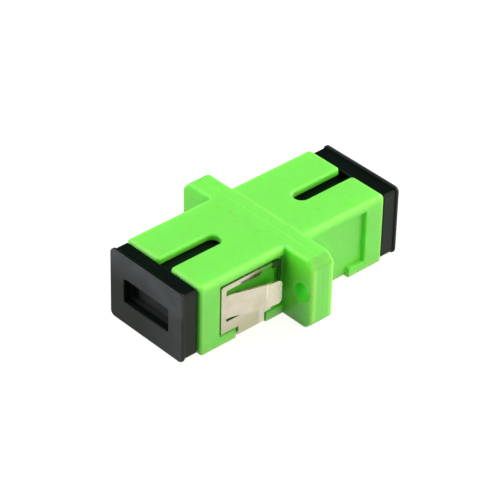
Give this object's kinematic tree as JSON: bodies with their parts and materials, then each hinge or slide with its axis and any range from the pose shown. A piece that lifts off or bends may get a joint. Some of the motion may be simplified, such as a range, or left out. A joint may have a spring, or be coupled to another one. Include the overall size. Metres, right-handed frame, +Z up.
{
  "type": "sc fibre adapter",
  "caption": "Simplex fibre optic adapter: a green socket body with a two-eared panel flange, key slots, a folded spring clip and push-in dust caps, joining fibre plugs end to end.",
  "frame": {"origin": "the point where the two ferrules meet: on the optical axis, in the weld plane at the middle of the flange and of the sleeve", "axes": "+X along the optical axis from the clip end to the plain end, +Y across the flange ears, +Z up through the key slots"},
  "size_m": [0.0332, 0.022, 0.0096],
  "materials": {
    "housing": "moulded, satin, vivid light green",
    "holder": "moulded, satin, light green",
    "sleeve": "ground and polished zirconia, off-white",
    "clip": "bright rolled stainless spring steel",
    "cap": "soft moulded black plastic, satin"
  },
  "bodies": {
    "adapter": {"housing_front": "housing", "housing_rear": "housing", "holder_front": "holder", "holder_rear": "holder", "split_sleeve": "sleeve", "panel_clip": "clip"},
    "cap_front": {"cap_front": "cap"},
    "cap_rear": {"cap_rear": "cap"}
  },
  "joints": [
    {"name": "cap_front_pull", "type": "slide", "parent": "adapter", "child": "cap_front", "axis": [-1, 0, 0], "range_m": [0, 0.03]},
    {"name": "cap_rear_pull", "type": "slide", "parent": "adapter", "child": "cap_rear", "axis": [1, 0, 0], "range_m": [0, 0.03]}
  ]
}
